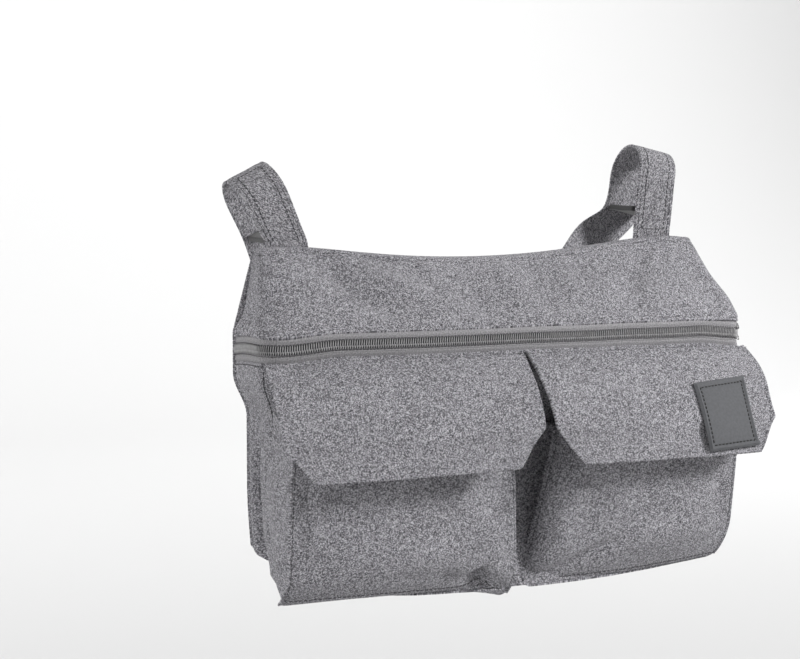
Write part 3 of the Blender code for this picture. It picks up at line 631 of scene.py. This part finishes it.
# Soft folds, as fold_line reads them
YOKE_FOLDS = [
    (-122, 204, -84, 172, -3.06, 7), (-108, 206, -52, 176, 2.72, 8), (-84, 202, -20, 178, -2.04, 7),
    (-46, 198, -40, 170, 1.87, 6), (-20, 197, -18, 168, -2.04, 6), (6, 197, 6, 170, 2.04, 6),
    (30, 198, 26, 168, -2.21, 6), (54, 199, 46, 172, 1.7, 6), (104, 206, 62, 178, 2.55, 8),
    (122, 206, 88, 170, -3.06, 7), (150, 196, 160, 166, -2.04, 7), (-150, 196, -160, 166, -2.04, 7),
]
FLAP_FOLDS = [
    (-150, 138, -60, 96, 0.9, 13), (-120, 84, -40, 92, -0.8, 9), (-40, 138, -20, 84, 0.9, 9),
    (30, 136, 60, 88, -0.9, 9), (90, 138, 60, 92, 0.8, 10), (100, 88, 150, 128, 0.7, 9),
]
POCKET_FOLDS = [
    (-151, 70, -154, 36, -2.2, 4), (-144, 72, -150, 40, 1.6, 5), (-33, 12, -21, 0, -12.0, 6),
    (-58, 9, -26, 7, -3.0, 5), (-56, 64, -14, 26, 1.6, 9), (-13, 70, -11, 24, 1.4, 4),
    (-120, 12, -50, 14, -1.6, 6),
    (30, 66, 17, 12, 3.0, 8), (54, 70, 38, 26, -2.0, 9), (136, 66, 146, 20, -2.0, 6),
    (24, 6, 66, 26, -3.6, 5), (80, 30, 130, 24, 1.6, 8), (100, 64, 120, 30, 1.2, 9),
]


def yoke_surface():
    def place(u, v):
        low = zip_height(u, ZIP_WINDOW)
        x = around(u, TOP_HEIGHT).x
        return around(u, mix(low, top_height(x), v))

    def relief(u, v, point):
        soft = min(1.0, v * 4) * min(1.0, (1 - v) * 5)
        value = soft * (2.2 * ripple(point, 46, 1) + 0.7 * ripple(point, 19, 2))
        value += sum(fold_line(point.x, point.z, fold) for fold in YOKE_FOLDS) * min(1.0, v * 5)
        return value + groove(v * YOKE_TALL, 2.4, 0.75) + groove((1 - v) * YOKE_TALL, 2.4, 0.6)

    return finished(place, relief)


def make_yoke(looks):
    place = yoke_surface()
    cloth("yoke_cloth", place, looks["body_cloth"], CLOTH, 1.9, replaces=["yoke"], columns=200, rows=34)
    spans = stitch_spans(place, [(0.005, 0.042), (0.995, 0.042)])
    spans += stitch_spans(place, [(0.02, 0.958), (0.98, 0.958)])
    capsules("yoke_stitches", spans, STITCH_RADIUS, looks["thread"])

    def seam(u, v):
        """Folded edge that closes the top seam over both layers."""
        share = mix(0.012, 0.988, u)
        top = settle(around(share, top_height(around(share, TOP_HEIGHT).x)))
        angle = math.pi * v
        middle = (top.y - 0.2) / 2
        reach = abs(middle) + 0.3
        return Vector((top.x, middle - reach * math.cos(angle), top.z - 0.8 + 1.9 * math.sin(angle)))

    cloth("top_seam", finished(seam, sewn=False), looks["body_cloth"], 0.9, columns=170, rows=8, rim=0)


def make_front(looks):
    def front(u, v):
        share = mix(SEAM_SHARE, 1 - SEAM_SHARE, u)
        return around(share, mix(0.0, zip_height(share, -ZIP_WINDOW), v))

    def relief(u, v, point):
        fade = min(1.0, (1 - v) * 8) * min(1.0, v * 8) * min(1.0, u * 14) * min(1.0, (1 - u) * 14)
        return 0.9 * ripple(point, 30, 4) * fade - 0.2

    cloth("front_cloth", finished(front, relief), looks["body_cloth"], CLOTH, 2.6, replaces=["front_panel"])


def make_gussets(looks):
    for side, node in (("left", "left_gusset"), ("right", "right_gusset")):
        def gusset(u, v, side=side):
            share = mix(1 - SEAM_SHARE, 1.0, u) if side == "right" else mix(0.0, SEAM_SHARE, u)
            low = bottom_height(around(share, 0.0).y)
            return around(share, mix(low, zip_height(share, -ZIP_WINDOW), v))

        def relief(u, v, point):
            fade = min(1.0, (1 - v) * 3) * min(1.0, v * 8) * min(1.0, u * 6) * min(1.0, (1 - u) * 6)
            value = fade * (2.2 * ripple(point, 38, 6) + 0.5 * ripple(point, 15, 7))
            return value + groove(min(u, 1 - u) * GUSSET_WIDE, 2.0, 0.75)

        place = finished(gusset, relief)
        cloth(node + "_cloth", place, looks["body_cloth"], CLOTH, 1.8, replaces=[node])
        spans = stitch_spans(place, [(0.045, 0.01), (0.045, 0.97)])
        spans += stitch_spans(place, [(0.95, 0.01), (0.95, 0.97)])
        spans += stitch_spans(place, [(0.03, 0.985), (0.97, 0.985)])
        capsules(node + "_stitches", spans, STITCH_RADIUS, looks["thread"])


def make_back(looks):
    def back(u, v):
        across = 1 - 2 * u
        height = mix(BACK_BOTTOM_HEIGHT, top_height(across * TOP_HALF_WIDTH), v)
        return Vector((across * half_width(height), 0.0, height))

    def relief(u, v, point):
        fade = min(1.0, v * 6) * min(1.0, (1 - v) * 6) * min(1.0, u * 10) * min(1.0, (1 - u) * 10)
        value = fade * (-1.1 + 1.0 * ripple(point, 60, 8) + 0.4 * ripple(point, 24, 9))
        edge = min(u * BACK_WIDE, (1 - u) * BACK_WIDE, v * BACK_TALL, (1 - v) * BACK_TALL)
        return value + groove(edge, 3.0, 0.75)

    place = finished(back, relief)
    cloth("back_cloth", place, looks["body_cloth"], CLOTH, 2.6, replaces=["back_panel"])
    capsules("back_stitches", stitch_spans(place, frame_line(0.01, 0.017)), STITCH_RADIUS, looks["thread"])

    def bottom(u, v):
        edge = CLOTH + 4 * GAP
        x = mix(-1, 1, u) * (BOTTOM_HALF_WIDTH - edge - gusset_fold(BACK_BOTTOM_HEIGHT))
        far = front_y(x, 0.0) + edge + 1.5 * max(0.0, abs(x) - BOTTOM_HALF_WIDTH + CORNER_RADIUS + edge)
        y = mix(-edge, far, v)
        return Vector((x, y, bottom_height(y)))

    def sag(u, v, point):
        return 1.2 * ripple(point, 34, 11) * min(1.0, u * 8) * min(1.0, (1 - u) * 8)

    cloth("bottom_cloth", finished(bottom, sag), looks["body_cloth"], CLOTH, 2.8, replaces=["bottom_panel"])


def make_zip(looks):
    def upper(u, v):
        offset = mix(TAPE_EDGE, TAPE_SEEN, v)
        swell = 0.5 * math.exp(-((offset - TAPE_WELT) / 1.3) ** 2)
        return around(u, zip_height(u, offset), TAPE_BEHIND - swell)

    def lower(u, v):
        offset = mix(TAPE_SEEN, TAPE_EDGE, v)
        swell = 0.9 * math.exp(-((offset - TAPE_WELT) / 1.6) ** 2)
        return around(u, zip_height(u, -offset), TAPE_BEHIND - swell)

    def core(u, v):
        half = COIL_HALF - 0.2
        return around(u, zip_height(u, mix(-half, half, v)), TAPE_BEHIND - CORE_PROUD)

    for name, surface in (("upper", upper), ("lower", lower)):
        cloth(name + "_tape", finished(surface), looks["zip_tape"], TAPE, replaces=["zip_tape_" + name],
              columns=220, rows=14, rim=0)
    cloth("coil_core", finished(core), looks["zip_core"], 0.5, columns=220, rows=4, rim=0)

    def face(u, v):
        return around(u, zip_height(u, mix(-COIL_HALF, COIL_HALF, v)), TAPE_BEHIND - COIL_PROUD)

    place = finished(face)
    spans = []
    # Two rows of teeth: lean, start and end across the coil, and shift along it
    for lean, start, end, shift in ((1, 0.24, 0.98, 0.0), (-1, 0.4, 0.02, 0.5)):
        line = walk(place, [(0.0, 0.5), (1.0, 0.5)], TOOTH_PITCH)
        for index in range(len(line) - 1):
            point = line[index][0].lerp(line[index + 1][0], shift)
            along = (line[index + 1][0] - line[index][0]).normalized()
            normal = line[index][1]
            up = normal.cross(along).normalized()
            up = up if up.z > 0 else -up
            inner = point + up * (start - 0.5) * 2 * COIL_HALF
            outer = point + up * (end - 0.5) * 2 * COIL_HALF + along * 0.45 * lean
            spans.append((inner, outer, normal))
    teeth = capsules("coil_teeth", spans, TOOTH_RADIUS, looks["zip_teeth"], flat=1.2)
    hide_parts("zip_coil")
    sewing = []
    for level in (-0.08, 1.08):
        sewing += stitch_spans(place, [(0.002, level), (0.998, level)], 2.2, 1.9, -1.0)
    capsules("zip_sewing", sewing, 0.28, looks["thread"])


def roll_under(side, height):
    """How far a pocket's front has rolled backwards near its lower edge."""
    reach, back = POCKET_ROLL[side]
    return back * max(0.0, 1 - height / reach) ** 2


def edge_roll(side, across):
    """How far the right pocket's front has rolled backwards at its left edge."""
    return LEFT_ROLL * max(0.0, 1 - across / LEFT_ROLL_SHARE) ** 2 if side == "right" else 0.0


def corner_hang(side, across, height):
    """How far the left pocket's lower corners hang down."""
    if side != "left":
        return 0.0
    outer = CORNER_HANG * max(0.0, 1 - 1.6 * across) ** 2 * max(0.0, 1 - height / 40) ** 2
    inner = INNER_HANG * max(0.0, 1 - (1 - across) / 0.25) ** 2 * max(0.0, 1 - height / 30) ** 2
    return outer + inner


def pocket_front(side):
    """Surface of a pocket's front: the mouth runs on under the flap, the filled lower part hangs out."""
    def front(u, v):
        height = v * POCKET_HIGH
        left, right = pocket_edges(side, height)
        right += INNER_REACH if side == "left" else 0.0
        y = pocket_front_y(u, height) + roll_under(side, height) + edge_roll(side, u)
        if side == "left":
            y -= BELLY * math.exp(-((height - 26) / 20) ** 2) * 4 * u * (1 - u)
        return Vector((mix(left, right, u), y, height - corner_hang(side, u, height)))

    def relief(u, v, point):
        fade = min(1.0, u * 9) * min(1.0, (1 - u) * 9)
        value = fade * (1.7 * ripple(point, 44, 12) + 0.6 * ripple(point, 18, 13))
        height = v * POCKET_HIGH
        value += sum(fold_line(point.x, height, fold) for fold in POCKET_FOLDS)
        return value * min(1.0, v * 6 + 0.3) + groove(min(u, 1 - u) * POCKET_WIDE, 2.0, 0.75)

    return finished(front, relief)


def pocket_strip(side):
    """Surface of the folded strip round a pocket: it tucks in behind the front and more so at the mouth."""
    side_share, corner_share = 0.27, 0.05

    def route(share):
        """Place across, height and inward direction on the pocket's outline."""
        near = min(share, 1 - share)
        lean_x, lean_z = 1.0, 0.0
        inset = 0.0
        if near < side_share:
            height = mix(POCKET_HIGH, POCKET_CORNER, near / side_share)
        elif near < side_share + corner_share:
            angle = (near - side_share) / corner_share * math.pi / 2
            height = POCKET_CORNER * (1 - math.sin(angle))
            inset = POCKET_CORNER * (1 - math.cos(angle))
            lean_x, lean_z = math.cos(angle), math.sin(angle)
        else:
            height = 0.0
            lean_x, lean_z = 0.0, 1.0
        left, right = pocket_edges(side, height)
        right += INNER_REACH if side == "left" else 0.0
        if height == 0.0:
            along = (share - side_share - corner_share) / (1 - 2 * side_share - 2 * corner_share)
            x = mix(left + POCKET_CORNER, right - POCKET_CORNER, along)
        else:
            x = left + inset if share < 0.5 else right - inset
        return x, height, (lean_x if share < 0.5 else -lean_x), lean_z

    def strip(u, v):
        x, height, lean_x, lean_z = route(u)
        left, right = pocket_edges(side, height)
        across = max(0.0, min(1.0, (x - left) / (right - left)))
        near_y = pocket_front_y(across, height) + POCKET_CLOTH + 0.1
        near_y += roll_under(side, height) + edge_roll(side, across)
        far_y = front_y(x, height) - GAP
        mouth = ease([(30, 0), (POCKET_HIGH, 1)], height)
        climb = 0.0
        if side == "left" and across < 0.5:
            climb = STRIP_CLIMB * ease([(55, 0), (POCKET_HIGH, 1)], height) * (1 - v) ** 2.5
            slit = max(0.0, v - (1 - SLIT_SHARE)) / SLIT_SHARE
            tuck = SLIT_DEPTH * ease([(44, 0.15), (62, 1)], height) * math.sin(math.pi * slit ** 0.8)
            ridge = STRIP_RIDGE * math.sin(math.pi * min(1.0, v / (1 - SLIT_SHARE)))
            ridge *= ease([(66, 1), (86, -1.2)], height)
            x += STRIP_INSET * ease([(60, 0), (92, 1)], height)
        else:
            tuck = mix(STRIP_TUCK, MOUTH_TUCK, mouth) * math.sin(math.pi * v ** 2.1) ** 1.3
            ridge = STRIP_RIDGE * math.sin(math.pi * min(1.0, v / 0.45)) * (1 - mouth)
        fold = (tuck - ridge) * abs(lean_x) * min(1.0, height / 20)
        rise = climb - corner_hang(side, across, height) * v + 0.5 * lean_z * crease(v)
        return Vector((x + fold * lean_x, mix(far_y, near_y, v), height + rise))

    def relief(u, v, point):
        fade = min(1.0, v * 5) * min(1.0, (1 - v) * 5)
        return fade * (1.1 * ripple(point, 22, 15) + 0.4 * ripple(point, 9, 16))

    return finished(strip, relief)


def make_pockets(looks):
    for side in POCKETS:
        place = pocket_front(side)
        cloth(side + "_pocket_cloth", place, looks["body_cloth"], POCKET_CLOTH, 1.7,
              replaces=[side + "_pocket"])
        spans = stitch_spans(place, [(0.013, 0.99), (0.013, 0.03), (0.987, 0.03), (0.987, 0.99)])
        capsules(side + "_pocket_stitches", spans, STITCH_RADIUS, looks["thread"])
        cloth(side + "_pocket_strip", pocket_strip(side), looks["body_cloth"], STRIP_CLOTH, 1.8,
              replaces=[side + "_pocket_gusset"], even=False)


def flap_face(side):
    def place(u, v):
        return flap_point(side, u, v)

    def relief(u, v, point):
        sewn = min(1.0, (1 - v) * 5)
        value = sewn * (1.3 * ripple(point, 52, 20) + 0.5 * ripple(point, 20, 21))
        value += sewn * sum(fold_line(point.x, point.z, fold) for fold in FLAP_FOLDS)
        edge = min(u * FLAP_WIDE, (1 - u) * FLAP_WIDE, v * FLAP_TALL)
        hem = 0.6 * max(0.0, 1 - edge / 5.0)
        return value + hem + groove(edge, 2.6, 1.05) + groove((1 - v) * FLAP_TALL, 2.2, 0.75)

    return finished(place, relief)


def make_flaps(looks):
    for side in ("left", "right"):
        place = flap_face(side)
        cloth(side + "_flap_cloth", place, looks["body_cloth"], CLOTH, 1.7, replaces=[side + "_flap"])
        near, far, low, high = 0.014, 0.986, 0.027, 0.975
        border = [(near, high), (near, FLAP_CHAMFER_V), (near, low), (far, low), (far, FLAP_CHAMFER_V),
                  (far, high)]
        spans = stitch_spans(place, border)
        spans += stitch_spans(place, [(0.0, high), (1.0, high)])
        capsules(side + "_flap_stitches", spans, STITCH_RADIUS, looks["thread"])


def patch_base(x, height):
    """Flap under the patch, evened out by a parabola through three heights."""
    low, high = 78.0, 122.0
    share = (height - low) / (high - low)
    lower, centre, upper = [settle(flap_surface(x, mix(low, high, at))) for at in (0, 0.5, 1)]
    return (lower * 2 * (share - 0.5) * (share - 1) - centre * 4 * share * (share - 1)
            + upper * 2 * share * (share - 0.5))


def make_patch(looks):
    """Bare moulded patch with a raised rim and dark stitches, lying on the right flap."""
    def place(u, v):
        left, right = [[mix(first, second, v) for first, second in zip(low, high)]
                       for low, high in zip(PATCH_LOW, PATCH_TOP)]
        x, height = mix(left[0], right[0], u), mix(left[1], right[1], u)
        base = patch_base(x, height)
        side = patch_base(x + 1, height) - base
        up = patch_base(x, height + 1) - base
        edge = min(min(u, 1 - u) * PATCH_WIDTH, min(v, 1 - v) * PATCH_HEIGHT)
        rim = 0.7 * math.exp(-((edge - 1.6) / 0.55) ** 2) - 0.5 * math.exp(-(edge / 0.5) ** 2)
        swell = 0.9 * ripple(base, 52, 20)
        return base + side.cross(up).normalized() * (PATCH + 1.0 + swell + rim)

    cloth("bare_patch", place, looks["label_rubber"], PATCH + 0.6, replaces=["label_patch"],
          columns=72, rows=80, rim=0.4)
    border = frame_line(PATCH_SEWN / PATCH_WIDTH, PATCH_SEWN / PATCH_HEIGHT)
    capsules("patch_stitches", stitch_spans(place, border, 2.8, 2.0, 0.1), 0.45, looks["dark_thread"])


# Strap


def loop_frame(side):
    loop = LOOPS[side]
    tilt = math.radians(loop["tilt"])
    centre = Vector((loop["x"], BAR_Y, BAR_HEIGHT + loop["rise"]))
    along = Vector((math.cos(tilt), 0, math.sin(tilt)))
    across = Vector((-math.sin(tilt), 0, math.cos(tilt)))
    return centre, along, across


def strap_route():
    """The strap's middle line and its width direction: sewn end, loop, drop behind the bag, loop, end."""
    radius = LOOP_RADIUS + STRAP / 2
    middle_y = -CLOTH - GAP - STRAP / 2
    behind_y = GAP + STRAP / 2 + STRAP_BEHIND
    flat = Vector((1, 0, 0))
    halves = []
    for side in ("left", "right"):
        centre, along, across = loop_frame(side)
        base_x = LOOPS[side]["base_x"]
        top = top_height(base_x)
        risen = Vector((base_x, middle_y, top + STRAP_RISE))
        knots = [(Vector((base_x, middle_y, top - STRAP_TUCK)), flat), (risen, flat)]
        start = centre + Vector((0, -radius, 0))
        for share in (0.35, 0.7):
            point = risen.lerp(start, share)
            knots.append((point, flat.lerp(along, share).normalized()))
        for step in range(9):
            angle = math.pi * step / 8
            point = centre + Vector((0, -radius * math.cos(angle), 0)) + across * radius * math.sin(angle)
            knots.append((point, along))
        knots.append((point - across * (LOOP_RADIUS + TAB_DROP + TAB), along))
        halves.append(knots)
    left, right = halves
    bow = []
    for rear, steps in ((left[-1][0], BOW_LEFT), (right[-1][0], BOW_RIGHT)):
        for across, behind, up, width in steps:
            bow.append((Vector((rear.x + across, behind_y + behind, rear.z + up)), Vector(width)))
    turned = [(point, -width) for point, width in reversed(right)]
    return left + bow + turned


def catmull_rom(points, share):
    before, first, second, after = points
    square, cube = share ** 2, share ** 3
    return 0.5 * (2 * first + (second - before) * share
                  + (2 * before - 5 * first + 4 * second - after) * square
                  + (3 * first - before - 3 * second + after) * cube)


def make_strap(looks):
    knots = strap_route()
    points = [knot[0] for knot in knots]
    widths = [knot[1].normalized() for knot in knots]
    for index in range(1, len(widths)):
        if widths[index].dot(widths[index - 1]) < 0:
            widths[index] = -widths[index]
    last = len(points) - 1

    def middle(u, v):
        at = v * last
        first = min(int(at), last - 1)
        share = at - first
        around_points = [points[max(0, min(last, first + k))] for k in (-1, 0, 1, 2)]
        centre = catmull_rom(around_points, share)
        width = widths[first].lerp(widths[first + 1], share).normalized()
        return centre + width * STRAP_WIDTH * (u - 0.5)

    def outer(u, v):
        edge = min(u, 1 - u) * STRAP_WIDTH
        swell = 0.15 + groove(edge, 2.6, 0.6, 0.8) + 0.25 * ripple(middle(u, v), 14, 30)
        return middle(u, v) + normal_at(middle, u, v) * (STRAP / 2 + swell * min(1.0, 8 * v, 8 * (1 - v)))

    cloth("strap_cloth", outer, looks["strap_cloth"], STRAP, replaces=["carry_strap"],
          columns=14, rows=300)
    near, far = SEWN_BOX
    lines = [[(0.09, 0.02), (0.09, 0.98)], [(0.91, 0.02), (0.91, 0.98)]]
    for low, high in ((near, far), (last - far, last - near)):
        low, high = low / last, high / last
        lines.append([(0.2, low), (0.2, high), (0.8, high), (0.8, low)])
    spans = [span for line in lines for span in stitch_spans(outer, line, lift=0.1)]
    capsules("strap_stitches", spans, STITCH_RADIUS, looks["thread"])


def make_tabs(looks):
    for side in ("left", "right"):
        centre, along, across = loop_frame(side)
        low = -LOOP_RADIUS - TAB_DROP - TAB
        drop = centre.z - top_height(LOOPS[side]["base_x"]) - STRAP_RISE
        lean = (LOOP_RADIUS - BAR_Y - CLOTH - GAP) * (TAB - low) / drop
        near, far = -LOOP_RADIUS + lean + 2 * GAP, LOOP_RADIUS - 2 * GAP

        def tab(u, v, centre=centre, along=along, across=across, near=near, far=far, low=low):
            spread = along * TAB_WIDTH * (u - 0.5) + Vector((0, mix(far, near, v), 0))
            return centre + spread + across * (low - 0.4 * math.sin(math.pi * v))

        cloth(side + "_tab_tape", tab, looks["black_tab"], TAB - 0.4, replaces=[side + "_loop_tab"],
              columns=16, rows=20, rim=0.9)


# Stage


def make_stage():
    """Pale floor that curves up into a backdrop, and soft lights."""
    paint = bpy.data.materials.new("pale_floor")
    paint.use_nodes = True
    shader = paint.node_tree.nodes["Principled BSDF"]
    shader.inputs["Base Color"].default_value = (0.6, 0.6, 0.6, 1)
    shader.inputs["Roughness"].default_value = 0.9
    floor_z, wall_y, turn, half, near = -0.42, 3.2, 1.4, 7.0, -6.0
    profile = [(near, floor_z)]
    profile += [(wall_y - turn + turn * math.sin(a), floor_z + turn - turn * math.cos(a))
                for a in [math.pi / 2 * k / 16 for k in range(17)]]
    profile.append((wall_y, 7.0))
    mesh = bmesh.new()
    rows = [[mesh.verts.new((x, y, z)) for y, z in profile] for x in (-half, half)]
    for k in range(len(profile) - 1):
        mesh.faces.new((rows[0][k], rows[1][k], rows[1][k + 1], rows[0][k + 1]))
    data = bpy.data.meshes.new("backdrop")
    mesh.to_mesh(data)
    mesh.free()
    data.shade_smooth()
    data.materials.append(paint)
    backdrop = bpy.data.objects.new("backdrop", data)
    bpy.context.scene.collection.objects.link(backdrop)

    world = bpy.data.worlds.new("studio")
    bpy.context.scene.world = world
    world.use_nodes = True
    background = world.node_tree.nodes["Background"]
    background.inputs["Color"].default_value = (1, 1, 1, 1)
    background.inputs["Strength"].default_value = 0.22
    bag, wall = Vector((0, -0.05, -0.13)), Vector((0, wall_y, 0.4))
    # Name, place, aim, size in metres and power in watts
    lights = [
        ("key", (1.45, -1.35, 0.88), bag, 0.45, 46.0),
        ("side", (-2.3, -1.0, 0.3), bag, 1.0, 19.0),
        ("wall_left", (-1.8, 1.0, 1.3), wall, 1.2, 60.0),
        ("wall_right", (1.8, 1.0, 1.3), wall, 1.2, 60.0),
    ]
    for name, place, aim, size, power in lights:
        lamp = bpy.data.lights.new(name, "AREA")
        lamp.energy = power
        lamp.size = size
        holder = bpy.data.objects.new(name, lamp)
        holder.location = place
        holder.rotation_euler = (aim - Vector(place)).to_track_quat("-Z", "Y").to_euler()
        bpy.context.scene.collection.objects.link(holder)
    bpy.context.scene.view_settings.view_transform = "Standard"


def make_camera():
    """Camera at the photo's angle, with its focal length in pixels of the photo's frame."""
    azimuth, elevation, roll = math.radians(-25), math.radians(5.57), math.radians(0.04)
    distance, focal_pixels, frame_pixels = 1.5235, 2353, 800
    target = Vector((-0.0521, -BAR_Y * MM, -0.0907))
    back = Vector((math.sin(azimuth) * math.cos(elevation), -math.cos(azimuth) * math.cos(elevation),
                   math.sin(elevation)))
    data = bpy.data.cameras.new("camera")
    data.sensor_width = 36.0
    data.lens = data.sensor_width * focal_pixels / frame_pixels
    camera = bpy.data.objects.new("camera", data)
    camera.location = target + back * distance
    camera.rotation_mode = "QUATERNION"
    camera.rotation_quaternion = (-back).to_track_quat("-Z", "Y")
    camera.rotation_mode = "XYZ"
    camera.rotation_euler.rotate_axis("Z", -roll)
    data.clip_start, data.clip_end = 0.05, 60
    bpy.context.scene.collection.objects.link(camera)
    bpy.context.scene.camera = camera


def main():
    looks = make_materials()
    make_camera()
    make_yoke(looks)
    make_front(looks)
    make_gussets(looks)
    make_back(looks)
    make_zip(looks)
    make_pockets(looks)
    make_flaps(looks)
    make_patch(looks)
    make_strap(looks)
    make_tabs(looks)
    for node in ("zip_slider", "zip_puller"):
        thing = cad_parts[node]
        for holder in thing.material_slots:
            holder.material = looks["zip_metal"]
    make_stage()


main()
